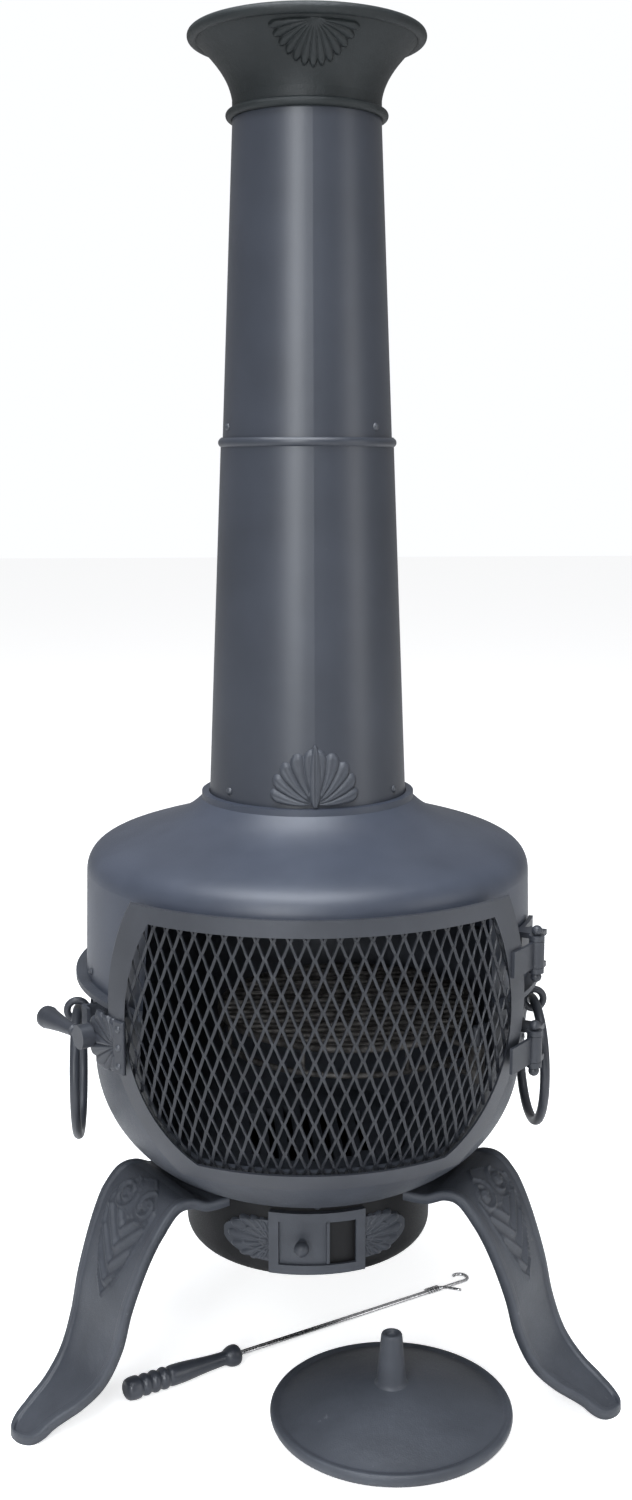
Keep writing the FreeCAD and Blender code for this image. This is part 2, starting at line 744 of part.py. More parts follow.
def latch_grip():
    """Turned grip that screws into the hub and swells to a round end."""
    hub, out, along = latch_frame()
    n = grip_length
    grip = lathe([
        (0, 0), (4, 0), (4, 0.13 * n), (5.4, 0.16 * n), (5.6, 0.2 * n), (7.2, 0.5 * n), (9.6, 0.8 * n),
        (10.6, 0.88 * n), (10.2, 0.95 * n), (7.6, 0.99 * n), (0, n),
    ])
    start = hub + out * (3 + axial_clearance + 6) + along * 9
    turn = FreeCAD.Rotation(Vec(0, 0, 1), along + out * 0.08)
    grip.Placement = FreeCAD.Placement(start, turn)
    return grip


def latch_keeper():
    """Hook on the bowl wall that the tongue turns behind."""
    wall = bowl_rim_r - 1
    low = latch_z + 1
    high = latch_z + 19
    azimuth = latch_azimuth - 16
    lip = latch_face - 4.4
    plate = lathe([(wall, low), (wall + 3, low), (wall + 3, high), (wall, high)], azimuth - 6, 7)
    arm = lathe([(wall, low), (lip + 3, low), (lip + 3, high), (wall, high)], azimuth - 0.2, 0.9)
    hook = lathe([(lip, low), (lip + 3, low), (lip + 3, high), (lip, high)], azimuth, 3.2)
    return union([plate, arm, hook])


# Legs

def leg_line():
    """Centre line (radius, z) of a leg from its pad to its tip."""
    half = leg_thickness * 0.5
    top = bowl_floor_z - half
    pad = leg_pad_r
    return [
        (pad - 12, top), (pad + 8, top + 0.2), (pad + 28, top + 7.5), (pad + 43, top + 6),
        (pad + 56, top - 6.5), (pad + 67, top - 23.5), (pad + 78.5, top - 48.5), (pad + 91, 115),
        (pad + 100, 80), (pad + 114, 50),
        (pad + 133, 31), (leg_reach - 30, 18), (leg_reach - 16, 8), (leg_reach - 8, half - 0.3),
        (leg_reach + 8, half - 1),
    ]


def leg_strip(low, high):
    """Ribbon section between two offsets from the leg's centre line."""
    line = leg_line()
    near, far = [], []
    for index, (r, z) in enumerate(line):
        before = line[max(0, index - 1)]
        after = line[min(len(line) - 1, index + 1)]
        run = Vec(after[0] - before[0], 0, after[1] - before[1]).normalize()
        normal = Vec(-run.z, 0, run.x)
        near.append((r + normal.x * low, z + normal.z * low))
        far.append((r + normal.x * high, z + normal.z * high))
    edges = [spline_edge(near), spline_edge(far)]
    for a, b in ((near[0], far[0]), (near[-1], far[-1])):
        edges.append(Part.makeLine(Vec(a[0], 0, a[1]), Vec(b[0], 0, b[1])))
    return Part.Face(Part.Wire(Part.__sortEdges__(edges)))


def leg_plan(inset):
    """Plan outline of a leg along +X, pulled in by an inset, as a tall prism."""
    knee = leg_width * 0.5 - inset
    toe = leg_toe_width * 0.5 - inset
    tip = leg_reach - inset
    side = [
        Vec(0, knee, 0), Vec(leg_pad_r + 60, knee, 0), Vec(leg_pad_r + 99, knee * 0.82, 0),
        Vec(leg_reach - 42, toe * 1.2, 0), Vec(tip - toe, toe, 0),
    ]
    mirror = [Vec(v.x, -v.y, 0) for v in reversed(side)]
    edges = [Part.makeLine(a, b) for a, b in zip(side, side[1:])]
    edges.append(Part.Arc(side[-1], Vec(tip, 0, 0), mirror[0]).toShape())
    edges += [Part.makeLine(a, b) for a, b in zip(mirror, mirror[1:] + side[:1])]
    return Part.Face(Part.Wire(edges)).extrude(Vec(0, 0, bowl_floor_z + 20))


def leg(azimuth):
    """Cast S-curve plate leg with a raised border and a pad under the bowl."""
    half = leg_width * 0.5
    face = leg_thickness * 0.5
    strip = leg_strip(-face, face).extrude(Vec(0, leg_width, 0))
    strip.translate(Vec(0, -half, 0))
    relief = leg_strip(face - leg_relief, face + 3).extrude(Vec(0, leg_width, 0))
    relief.translate(Vec(0, -half, 0))
    keep = Part.makeBox(leg_reach, leg_width, bowl_floor_z, Vec(leg_pad_r + 42, -half, 0))
    body = strip.common(leg_plan(0)).cut(relief.common(leg_plan(leg_border)).common(keep))
    return spun(body, azimuth - 90)


def leg_bolts():
    """One bolt for each leg, up through the pad and the bowl floor."""
    bolts = []
    for azimuth in leg_azimuths.values():
        under = bowl_floor_z - leg_thickness - 1
        head = Part.makeCylinder(leg_bolt_r * 1.8, 6, polar(leg_pad_r, azimuth, under - 6))
        length = leg_thickness + bowl_wall + 9
        shank = Part.makeCylinder(leg_bolt_r, length, polar(leg_pad_r, azimuth, under))
        bolts.append(head.fuse(shank))
    return bolts


def leg_nuts():
    """Hexagon nuts inside the bowl."""
    nuts = []
    size = leg_bolt_r * 2
    for azimuth in leg_azimuths.values():
        base = polar(leg_pad_r, azimuth, bowl_floor_z + bowl_wall + 1)
        turns = [k * math.pi / 3 for k in range(7)]
        corners = [base + Vec(size * math.cos(a), size * math.sin(a), 0) for a in turns]
        nut = Part.Face(Part.makePolygon(corners)).extrude(Vec(0, 0, 7))
        nuts.append(nut.cut(Part.makeCylinder(leg_bolt_r, 9, base - UP)))
    return nuts


# Ring handles

def ring_top_z():
    """Height of the ring's bar where it hangs in the eye."""
    return ring_centre_z + ring_centre_r


def ring_eye(side):
    """Loop on a stem at the side of the bowl; side is -1 or 1."""
    hole = ring_bar_r + eye_slack
    major = hole + eye_bar_r
    z = ring_top_z() - ring_bar_r - 0.3 - eye_bar_r + major
    centre = Vec(side * ring_x, 0, z)
    loop = Part.makeTorus(major, eye_bar_r, centre, Vec(0, 1, 0))
    wall = bowl_rim_r - 3
    stem = Part.makeCylinder(5, ring_x - major - wall, Vec(side * wall, 0, z), Vec(side, 0, 0))
    pad = Part.makeCylinder(11, 5, Vec(side * wall, 0, z), Vec(side, 0, 0))
    return union([loop, stem, pad])


def ring(side):
    """Ring handle that hangs in its eye."""
    return Part.makeTorus(ring_centre_r, ring_bar_r, Vec(side * ring_x, 0, ring_centre_z), Vec(1, 0, 0))


# Swing-out grill

def grill_post_part():
    """Upright post just inside the mouth, on an arm from the bowl wall."""
    x, y = grill_post
    low = grill_z - grill_drop - 14
    high = grill_z + 22
    post = Part.makeCylinder(grill_post_r, high - low, Vec(x, y, low))
    azimuth = math.degrees(math.atan2(x, -y))
    arms = []
    for z in (low, high - 6):
        anchor = polar(bowl_rim_r - bowl_wall + 1, azimuth + 9, z)
        bar = rod(Vec(x, y, z + 3), anchor + Vec(0, 0, 3), 3.0)
        arms.append(bar)
    return union([post] + arms)


def grill_hoops():
    """Upper and lower round hoops of the grill."""
    centre = Vec(grill_offset, 0, grill_z)
    upper = Part.makeTorus(grill_r - grill_hoop_r, grill_hoop_r, centre, UP)
    lower = Part.makeTorus(grill_r - grill_hoop_r, grill_hoop_r * 0.8, centre - UP * grill_drop, UP)
    uprights = []
    for step in range(8):
        a = math.radians(step * 45 + 20)
        place = centre + Vec(math.cos(a), math.sin(a), 0) * (grill_r - grill_hoop_r)
        uprights.append(rod(place - UP * grill_drop, place, 2.0))
    return union([upper, lower] + uprights)


def grill_wires():
    """Parallel wires across the upper hoop."""
    wires = []
    inner = grill_r - grill_hoop_r
    pitch = 14.0
    count = int((inner - 6) / pitch)
    for step in range(-count, count + 1):
        y = step * pitch
        half = math.sqrt(inner ** 2 - y ** 2) - grill_hoop_r * 0.5
        left = Vec(grill_offset - half, y, grill_z)
        wires.append(rod(left, left + Vec(2 * half, 0, 0), grill_wire_r))
    return wires


def grill_sleeve():
    """Sleeve on the post with a bar to the hoop."""
    x, y = grill_post
    low = grill_z - grill_drop
    axis = Vec(x, y, 0)
    sleeve = Part.makeCylinder(grill_post_r + 3.5, grill_drop + 8, axis + UP * (low - 4))
    target = Vec(grill_offset, 0, 0)
    toward = (target - axis).normalize()
    reach = (target - axis).Length - grill_r + grill_hoop_r
    bars = [rod(axis + UP * z, axis + toward * reach + UP * z, 2.5) for z in (grill_z, low)]
    bore = Part.makeCylinder(grill_post_r + pin_clearance, grill_drop + 40, axis + UP * (low - 20))
    return union([sleeve] + bars).cut(bore)


# Lid

def lid_disc():
    """Domed cast lid with a shallow groove and a rim lip."""
    d = lid_dome
    t = lid_wall
    outer = [(lid_r, 0), (lid_r, 11), (lid_r - 4, 14), (lid_r - 12, 13), (lid_r * 0.7, 0.64 * d),
             (lid_r * 0.35, 0.9 * d), (stem_base_r, d), (0, d)]
    inner = [(0, d - t), (lid_r * 0.35, 0.9 * d - t), (lid_r * 0.7, 0.62 * d - t)]
    inner += [(lid_r - 12, 6), (lid_r - 5, 0)]
    disc = lathe(outer + inner)
    disc.translate(Vec(lid_centre[0], lid_centre[1], 0))
    return disc


def lid_stem():
    """Tapered stem with a dimpled top, used to lift the lid."""
    base = Vec(lid_centre[0], lid_centre[1], lid_dome - 1)
    stem = Part.makeCone(stem_base_r, stem_top_r, stem_height, base)
    dimple = Part.makeSphere(stem_top_r, base + UP * (stem_height + stem_top_r * 0.7))
    return stem.cut(dimple)


# Poker

def poker_place(shape):
    """Move a piece built along +X onto the floor line of the poker."""
    tip = Vec(poker_tip[0], poker_tip[1], poker_rod_r + 0.6)
    ball_at = poker_grip_length - poker_grip_r
    slope = (poker_grip_r - tip.z) / (poker_length() - ball_at)
    start = Vec(poker_end[0], poker_end[1], poker_grip_r + slope * ball_at)
    placed = shape.copy()
    placed.Placement = FreeCAD.Placement(start, FreeCAD.Rotation(Vec(1, 0, 0), tip - start))
    return placed


def poker_length():
    """Distance from the end cap to the hook."""
    dx = poker_tip[0] - poker_end[0]
    dy = poker_tip[1] - poker_end[1]
    return math.hypot(dx, dy)


def poker_handle():
    """Turned grip with ribs, a waist and a ball end."""
    r = poker_grip_r
    n = poker_grip_length
    grip = Part.makeCylinder(r, 6, Vec(), Vec(1, 0, 0))
    pieces = [grip]
    for step in range(4):
        pieces.append(Part.makeTorus(r - 3, 2.5, Vec(9 + step * 5, 0, 0), Vec(1, 0, 0)))
    pieces.append(Part.makeCylinder(r - 2.5, 22, Vec(5, 0, 0), Vec(1, 0, 0)))
    pieces.append(Part.makeCone(r - 1.5, r - 4, n * 0.45, Vec(26, 0, 0), Vec(1, 0, 0)))
    pieces.append(Part.makeCone(r - 4, r - 2.5, n - 35 - n * 0.45, Vec(26 + n * 0.45, 0, 0), Vec(1, 0, 0)))
    pieces.append(Part.makeSphere(r - 0.5, Vec(n - r, 0, 0)))
    return poker_place(union(pieces))


def poker_rod():
    """Steel rod with a curled hook and a side prong."""
    length = poker_length()
    hook = 8.0
    start = poker_grip_length - 12
    shank = Part.makeCylinder(poker_rod_r, length - start, Vec(start, 0, 0), Vec(1, 0, 0))
    curl = Part.makeTorus(hook, poker_rod_r, Vec(length, hook, 0), UP, -180, 180, 180)
    curl.rotate(Vec(length, hook, 0), UP, -90)
    prong = Part.makeCylinder(poker_rod_r, 26, Vec(length - 34, 0, 0), Vec(0.6, -0.8, 0))
    return poker_place(union([shank, curl, prong]))


def poker_collar():
    """Crimped collar that holds the prong on the rod."""
    length = poker_length()
    sleeve = Part.makeCylinder(poker_rod_r + 1.4, 14, Vec(length - 44, 0, 0), Vec(1, 0, 0))
    return poker_place(sleeve.cut(Part.makeCylinder(poker_rod_r, 16, Vec(length - 45, 0, 0), Vec(1, 0, 0))))


def as_shape(piece):
    """A list of separate solids as one compound."""
    return Part.makeCompound(piece) if isinstance(piece, list) else piece


def seat(parts, piece, host):
    """Shape the back of a piece to the host that it is fixed on."""
    parts[piece] = parts[piece].cut(parts[host])


def drill(parts, host, fasteners):
    """Cut a hole in the host for each fastener that passes through it."""
    parts[host] = parts[host].cut(parts[fasteners])


SEATS = [
    ("crown_shell", "chimney_crown"), ("hinge_bracket_lower", "bowl"), ("latch_keeper", "bowl"),
    ("grill_post", "bowl"), ("ring_eye_left", "bowl"), ("ring_eye_right", "bowl"), ("leg_left", "bowl"),
    ("leg_right", "bowl"), ("leg_rear", "bowl"), ("lid_stem", "lid_disc"), ("latch_grip", "latch_lever"),
    ("poker_handle", "poker_rod"), ("poker_collar", "poker_rod"), ("grill_sleeve", "grill_hoops"),
    ("grill_wires", "grill_hoops"), ("leg_nuts", "bowl"),
]

HOLES = [
    ("lower_flue", "flue_joint_screws"), ("lower_flue", "flue_base_screws"),
    ("hood", "hood_screws"), ("bowl", "flange_bolts"), ("ash_drum", "drum_bolts"), ("bowl", "leg_bolts"),
    ("leg_left", "leg_bolts"), ("leg_right", "leg_bolts"), ("leg_rear", "leg_bolts"),
    ("bowl", "hinge_screws"), ("hood", "hinge_screws"), ("hinge_bracket_lower", "hinge_screws"),
    ("hinge_bracket_upper", "hinge_screws"), ("latch_plate", "latch_rivets"),
    ("door_bar_left", "latch_rivets"),
]


def build():
    """Every sub-part by name, seated on its neighbours and drilled."""
    parts = {
        "chimney_crown": chimney_crown(),
        "crown_shell": crown_shell(),
        "upper_flue": upper_flue(),
        "lower_flue": lower_flue(),
        "flue_badge": flue_badge(),
        "flue_joint_screws": flue_joint_screws(),
        "flue_base_screws": flue_base_screws(),
        "hood": hood(),
        "bowl": bowl(),
        "fire_grate": fire_grate(),
        "hood_screws": hood_screws(),
        "flange_bolts": flange_bolts(),
        "ash_drum": ash_drum(),
        "drum_bolts": drum_bolts(),
        "vent_frame": vent_frame(),
        "vent_slide": vent_slide(),
        "vent_knob": vent_knob(),
        "door_mesh": door_mesh(),
        "hinge_screws": hinge_screws(),
        "latch_plate": latch_plate(),
        "latch_rivets": latch_rivets(),
        "latch_lever": latch_lever(),
        "latch_grip": latch_grip(),
        "latch_keeper": latch_keeper(),
        "leg_bolts": leg_bolts(),
        "leg_nuts": leg_nuts(),
        "grill_post": grill_post_part(),
        "grill_hoops": grill_hoops(),
        "grill_wires": grill_wires(),
        "grill_sleeve": grill_sleeve(),
        "lid_disc": lid_disc(),
        "lid_stem": lid_stem(),
        "poker_handle": poker_handle(),
        "poker_rod": poker_rod(),
        "poker_collar": poker_collar(),
    }
    parts.update(door_bars())
    for name, z in hinge_heights.items():
        parts["hinge_bracket_" + name] = hinge_bracket(z)
        parts["hinge_pin_" + name] = hinge_pin(z)
        parts["door_knuckle_" + name] = door_knuckle(z)
    for name, azimuth in leg_azimuths.items():
        parts["leg_" + name] = leg(azimuth)
    for name, side in (("left", -1), ("right", 1)):
        parts["ring_eye_" + name] = ring_eye(side)
        parts["ring_" + name] = ring(side)
    parts = {name: as_shape(piece) for name, piece in parts.items()}
    for piece, host in SEATS:
        seat(parts, piece, host)
    for host, fasteners in HOLES:
        drill(parts, host, fasteners)
    return parts


os.makedirs("parts", exist_ok=True)
for node, shape in build().items():
    solids = len(shape.Solids)
    box = shape.BoundBox
    print(f"{node}: {solids} solids, valid {shape.isValid()}, volume {shape.Volume / 1000:.1f} cm3, "
          f"z {box.ZMin:.1f} to {box.ZMax:.1f}")
    shape.exportStep(f"parts/{node}.step")
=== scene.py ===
# %% [markdown]
# ## A garden chiminea, finished over its engineering model
# The engineering model already holds every plate, tube, pin and bolt at its real size. This
# lesson loads it as a fixed frame, gives every carried piece its real finish, and rebuilds the
# pieces whose beauty is in their surface: cast scallops and palmettes, the legs' carved panels,
# the expanded-metal door, the vent's knob, the lid and the poker.

# %% Load the frame
import bpy
import json
import math
import numpy as np
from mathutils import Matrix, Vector


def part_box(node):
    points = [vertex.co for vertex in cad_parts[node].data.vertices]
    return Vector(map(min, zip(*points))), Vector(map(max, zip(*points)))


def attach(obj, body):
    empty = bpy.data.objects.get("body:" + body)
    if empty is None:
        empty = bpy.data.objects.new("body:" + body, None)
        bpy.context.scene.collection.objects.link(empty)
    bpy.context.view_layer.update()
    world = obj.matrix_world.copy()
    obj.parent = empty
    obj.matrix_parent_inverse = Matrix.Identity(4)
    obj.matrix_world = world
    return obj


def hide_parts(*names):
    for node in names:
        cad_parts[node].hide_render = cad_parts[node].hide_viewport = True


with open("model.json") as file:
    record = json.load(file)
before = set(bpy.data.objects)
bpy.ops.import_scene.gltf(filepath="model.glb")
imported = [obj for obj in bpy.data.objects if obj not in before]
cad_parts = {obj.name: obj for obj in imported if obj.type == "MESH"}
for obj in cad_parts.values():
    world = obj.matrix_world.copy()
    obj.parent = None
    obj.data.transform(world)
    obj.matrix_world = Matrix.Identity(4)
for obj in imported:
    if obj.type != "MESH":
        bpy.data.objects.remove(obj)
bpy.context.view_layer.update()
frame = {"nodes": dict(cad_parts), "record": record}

nodes = frame["nodes"]

# %% [markdown]
# ### Where things are
# Azimuth is counted from the door side (-Y) and grows toward +X. A round stove is easiest to
# describe this way: one helper turns a radius, an azimuth and a height into a point, and it works
# on whole arrays, so a carved patch can be bent round a cone in one call.

# %% Round places
def polar(radius, azimuth, z):
    """Point, or array of points, at a radius, an azimuth in radians and a height."""
    return np.stack(np.broadcast_arrays(radius * np.sin(azimuth), -radius * np.cos(azimuth), z), -1)


def spread(node):
    """Lengths of a node's box."""
    low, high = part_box(node)
    return high - low


flue_top_radius = spread("upper_flue").x / 2
print("upper flue is", round(flue_top_radius * 2000), "mm across at its foot")

# %% [markdown]
# ### Nodes for painted metal
# Every finish on a chiminea is a variation on one theme: heat-proof matt paint over a casting or
# a rolled sheet. What tells them apart is scale. A casting has grain about a millimetre across,
# a sheet has only faint mottling from the spray gun, and a handled edge is rubbed paler. One small
# set of node helpers lets each finish say only its own numbers. Object coordinates are metres in
# the frame, so a scale of 900 means a grain of about a millimetre.

# %% Node helpers
def new_material(name, metallic=0.0, specular=0.5):
    """Material with only a Principled shader, and its tree."""
    material = bpy.data.materials.new(name)
    material.use_nodes = True
    tree = material.node_tree
    shader = tree.nodes["Principled BSDF"]
    shader.inputs["Metallic"].default_value = metallic
    shader.inputs["Specular IOR Level"].default_value = specular
    return material, tree, shader


def speckle(tree, scale, detail=3.0, roughness=0.5):
    """Noise in the piece's own metres."""
    place = tree.nodes.new("ShaderNodeTexCoord")
    noise = tree.nodes.new("ShaderNodeTexNoise")
    noise.inputs["Scale"].default_value = scale
    noise.inputs["Detail"].default_value = detail
    noise.inputs["Roughness"].default_value = roughness
    tree.links.new(place.outputs["Object"], noise.inputs["Vector"])
    return noise.outputs["Fac"]


def remap(tree, value, low, high, to_low, to_high):
    """Stretch a value from one range to another, clamped."""
    node = tree.nodes.new("ShaderNodeMapRange")
    node.inputs["From Min"].default_value = low
    node.inputs["From Max"].default_value = high
    node.inputs["To Min"].default_value = to_low
    node.inputs["To Max"].default_value = to_high
    tree.links.new(value, node.inputs["Value"])
    return node.outputs["Result"]


def blend_colours(tree, share, first, second):
    """Mix two colours, each a constant or another node's output, by a share from 0 to 1."""
    node = tree.nodes.new("ShaderNodeMix")
    node.data_type = "RGBA"
    tree.links.new(share, node.inputs["Factor"])
    for socket, colour in ((node.inputs[6], first), (node.inputs[7], second)):
        if isinstance(colour, tuple):
            socket.default_value = (*colour, 1)
        else:
            tree.links.new(colour, socket)
    return node.outputs[2]


def multiply(tree, first, second):
    """Product of two values."""
    node = tree.nodes.new("ShaderNodeMath")
    node.operation = "MULTIPLY"
    tree.links.new(first, node.inputs[0])
    tree.links.new(second, node.inputs[1])
    return node.outputs[0]


def raise_surface(tree, shader, layers):
    """Bump from (value, height in metres) layers, coarse first."""
    normal = None
    for value, height in layers:
        bump = tree.nodes.new("ShaderNodeBump")
        bump.inputs["Strength"].default_value = 1.0
        bump.inputs["Distance"].default_value = height
        tree.links.new(value, bump.inputs["Height"])
        if normal is not None:
            tree.links.new(normal, bump.inputs["Normal"])
        normal = bump.outputs["Normal"]
    tree.links.new(normal, shader.inputs["Normal"])

# %% [markdown]
# ### Finishes
# A cast finish has four layers: a broad tone change where the paint went on thick or thin, a
# millimetre grain, small rubbed flecks where the iron shows grey, and a rougher skin where the
# tone is pale. Sheet metal uses the same layers with almost no grain. Soot is the same paint with
# the highlights killed.

# %% Painted metal
rubbed_grey = (0.2, 0.21, 0.22)


def painted(name, dark, pale, rough=(0.45, 0.62), grain=900.0, grain_height=0.00012, mottle=14.0,
            flecks=0.0, lumps=0.0, shine=0.5):
    """Heat-proof paint over metal."""
    material, tree, shader = new_material(name, specular=shine)
    broad = remap(tree, speckle(tree, mottle, 4.0, 0.6), 0.3, 0.7, 0.0, 1.0)
    fine = speckle(tree, grain, 3.0, 0.65)
    colour = blend_colours(tree, broad, dark, pale)
    colour = blend_colours(tree, remap(tree, fine, 0.35, 0.75, 0.0, 0.35), colour, pale)
    if flecks > 0:
        rub = remap(tree, speckle(tree, 75.0, 6.0, 0.72), 0.71 - flecks, 0.80 - flecks, 0.0, 1.0)
        patch = remap(tree, speckle(tree, 9.0, 2.0), 0.5, 0.68, 0.0, 0.75)
        colour = blend_colours(tree, multiply(tree, rub, patch), colour, rubbed_grey)
    tree.links.new(colour, shader.inputs["Base Color"])
    tree.links.new(remap(tree, fine, 0.3, 0.75, rough[0], rough[1]), shader.inputs["Roughness"])
    layers = [(fine, grain_height)]
    if lumps > 0:
        layers.insert(0, (speckle(tree, 120.0, 3.0, 0.5), lumps))
    raise_surface(tree, shader, layers)
    return material


finishes = {
    "crown_black": painted(
        "Greenish cast crown", (0.0065, 0.0085, 0.0090), (0.016, 0.019, 0.020),
        rough=(0.42, 0.6), grain=700.0, grain_height=0.00025, lumps=0.0004, flecks=0.03, shine=0.25),
    "flue_paint": painted(
        "Sprayed flue sheet", (0.018, 0.021, 0.028), (0.027, 0.031, 0.041),
        rough=(0.34, 0.46), grain=1500.0, grain_height=0.00005, mottle=9.0, flecks=0.01, shine=0.45),
    "hood_paint": painted(
        "Sprayed hood sheet", (0.024, 0.029, 0.042), (0.040, 0.047, 0.065),
        rough=(0.38, 0.52), grain=1300.0, grain_height=0.00007, mottle=11.0, flecks=0.015, shine=0.42),
    "cast_black": painted(
        "Painted casting", (0.022, 0.025, 0.032), (0.044, 0.049, 0.060),
        rough=(0.44, 0.62), grain=800.0, grain_height=0.0002, lumps=0.0003, flecks=0.07, shine=0.4),
    "drum_black": painted(
        "Sooty drum", (0.0035, 0.0036, 0.0040), (0.009, 0.009, 0.010),
        rough=(0.5, 0.72), grain=900.0, grain_height=0.00012, flecks=0.02, shine=0.22),
    "frame_black": painted(
        "Painted bar", (0.017, 0.019, 0.024), (0.031, 0.034, 0.042),
        rough=(0.36, 0.5), grain=1100.0, grain_height=0.00008, flecks=0.02, shine=0.4),
    "mesh_black": painted(
        "Painted mesh", (0.010, 0.011, 0.014), (0.019, 0.021, 0.026),
        rough=(0.36, 0.52), grain=1400.0, grain_height=0.00004, mottle=30.0, shine=0.35),
    "fastener_black": painted(
        "Painted screw", (0.022, 0.025, 0.031), (0.038, 0.042, 0.051),
        rough=(0.34, 0.48), grain=1600.0, grain_height=0.00004, mottle=60.0),
    "poker_grip": painted(
        "Painted grip", (0.022, 0.025, 0.033), (0.038, 0.042, 0.052),
        rough=(0.32, 0.45), grain=1400.0, grain_height=0.00005, mottle=30.0),
}
print(len(finishes), "painted finishes")

# %% [markdown]
# ### Bare and smoked steel
# Only two things are not painted. The poker's rod is bright drawn steel with fine scratches along
# it. The grill has been in the fire: brown-black soot, with bare wire showing where food slid.

# %% Steel
def bright_steel(name):
    """Plated rod, worn along its length."""
    material, tree, shader = new_material(name, metallic=1.0)
    scratch = speckle(tree, 420.0, 4.0, 0.6)
    share = remap(tree, scratch, 0.35, 0.7, 0.0, 1.0)
    shade = blend_colours(tree, share, (0.42, 0.42, 0.43), (0.66, 0.66, 0.67))
    tree.links.new(shade, shader.inputs["Base Color"])
    tree.links.new(remap(tree, scratch, 0.3, 0.7, 0.14, 0.34), shader.inputs["Roughness"])
    raise_surface(tree, shader, [(scratch, 0.00003)])
    return material


def smoked_steel(name):
    """Wire blackened by the fire, with bare patches."""
    material, tree, shader = new_material(name, metallic=0.6)
    soot = remap(tree, speckle(tree, 55.0, 5.0, 0.65), 0.42, 0.62, 0.0, 1.0)
    shade = blend_colours(tree, soot, (0.020, 0.018, 0.017), (0.085, 0.080, 0.076))
    tree.links.new(shade, shader.inputs["Base Color"])
    tree.links.new(remap(tree, soot, 0.0, 1.0, 0.72, 0.42), shader.inputs["Roughness"])
    raise_surface(tree, shader, [(speckle(tree, 900.0, 3.0), 0.00015)])
    return material


finishes["poker_steel"] = bright_steel("Bright poker steel")
finishes["grill_wire"] = smoked_steel("Smoked grill wire")


def finish_piece(piece, slot):
    """Give a piece the finish that its slot in the record names."""
    piece.data.materials.clear()
    piece.data.materials.append(finishes[slot])


for part in frame["record"]["subparts"]:
    finish_piece(nodes[part["node"]], part["material_slot"])
print(len(nodes), "carried nodes have their finish")

# %% [markdown]
# ### The view
# The stove was looked at from chest height, a step and a half away and a little to its left, with
# a short portrait lens tilted down. The camera repeats that stance.

# %% Camera
stance_distance = 1.534
stance_height = 0.868
stance_azimuth = math.radians(-4.4)
stance_pitch = math.radians(9.9)
stance_right = 0.008
lens_mm = 39.36

eye = Vector(polar(stance_distance, stance_azimuth, stance_height))
right = Vector((math.cos(stance_azimuth), math.sin(stance_azimuth), 0))
camera_data = bpy.data.cameras.new("Portrait camera")
camera_data.sensor_fit = "VERTICAL"
camera_data.sensor_height = 36
camera_data.lens = lens_mm
camera = bpy.data.objects.new("Portrait camera", camera_data)
camera.location = eye + right * stance_right
camera.rotation_euler = (math.pi / 2 - stance_pitch, 0, stance_azimuth)
bpy.context.scene.collection.objects.link(camera)
bpy.context.scene.camera = camera
print("camera at", [round(value, 3) for value in camera.location], "lens", round(camera_data.lens, 1), "mm")

# %% [markdown]
# ### Floor and light
# Matt dark paint is easy to lose. A tall soft panel at the left front lays one long pale band down
# the flue, a wide panel overhead opens the shoulder of the hood and the lid, and a weak panel on
# the right keeps the shadow side readable. The floor is plain and pale, like a studio sweep.

# %% Floor, sky and lamps
floor_data = bpy.data.meshes.new("Studio floor")
reach = 14.0
floor_corners = [(-reach, -reach, 0), (reach, -reach, 0), (reach, reach, 0), (-reach, reach, 0)]
floor_data.from_pydata(floor_corners, [], [(0, 1, 2, 3)])
floor = bpy.data.objects.new("Studio floor", floor_data)
bpy.context.scene.collection.objects.link(floor)
floor_paint, floor_tree, floor_shader = new_material("Pale floor", specular=0.2)
floor_shader.inputs["Base Color"].default_value = (0.92, 0.92, 0.92, 1)
floor_shader.inputs["Roughness"].default_value = 0.9
floor_ray = floor_tree.nodes.new("ShaderNodeLightPath")
floor_shader.inputs["Emission Color"].default_value = (1, 1, 1, 1)
floor_glow = remap(floor_tree, floor_ray.outputs["Is Camera Ray"], 0.0, 1.0, 0.10, 0.62)
floor_tree.links.new(floor_glow, floor_shader.inputs["Emission Strength"])
floor_data.materials.append(floor_paint)

world = bpy.data.worlds.new("Pale sky")
bpy.context.scene.world = world
world.use_nodes = True
sky = world.node_tree.nodes["Background"]
sky.inputs["Color"].default_value = (0.97, 0.98, 1.0, 1)
ray = world.node_tree.nodes.new("ShaderNodeLightPath")
seen = remap(world.node_tree, ray.outputs["Is Camera Ray"], 0.0, 1.0, 0.35, 1.02)
world.node_tree.links.new(seen, sky.inputs["Strength"])
bpy.context.scene.view_settings.view_transform = "Standard"


def soft_panel(name, place, aim, size, power, colour=(1, 1, 1)):
    """Area lamp at a place, turned to an aim point."""
    data = bpy.data.lights.new(name, "AREA")
    data.shape = "RECTANGLE"
    data.size, data.size_y = size
    data.energy = power
    data.color = colour
    lamp = bpy.data.objects.new(name, data)
    lamp.location = place
    lamp.rotation_euler = (Vector(aim) - Vector(place)).to_track_quat("-Z", "Y").to_euler()
    bpy.context.scene.collection.objects.link(lamp)
    return lamp


soft_panel("Front panel", (-0.9, -2.6, 1.5), (0, 0, 0.6), (0.7, 2.0), 66, (0.94, 0.97, 1.0))
soft_panel("Top panel", (-0.3, -0.7, 2.9), (0, 0, 0.3), (2.0, 1.6), 118, (0.90, 0.94, 1.0))
soft_panel("Right panel", (2.4, -1.4, 1.0), (0, 0, 0.6), (0.8, 1.8), 18)

# %% [markdown]
# ### Adding a piece
# A new piece is a mesh, a finish and a body to ride on. Most pieces here are skins: a grid of
# points whose rows and columns become faces. One function closes a grid round, caps nothing and
# smooths it, so every sculpted patch below is only a formula for where its points are.

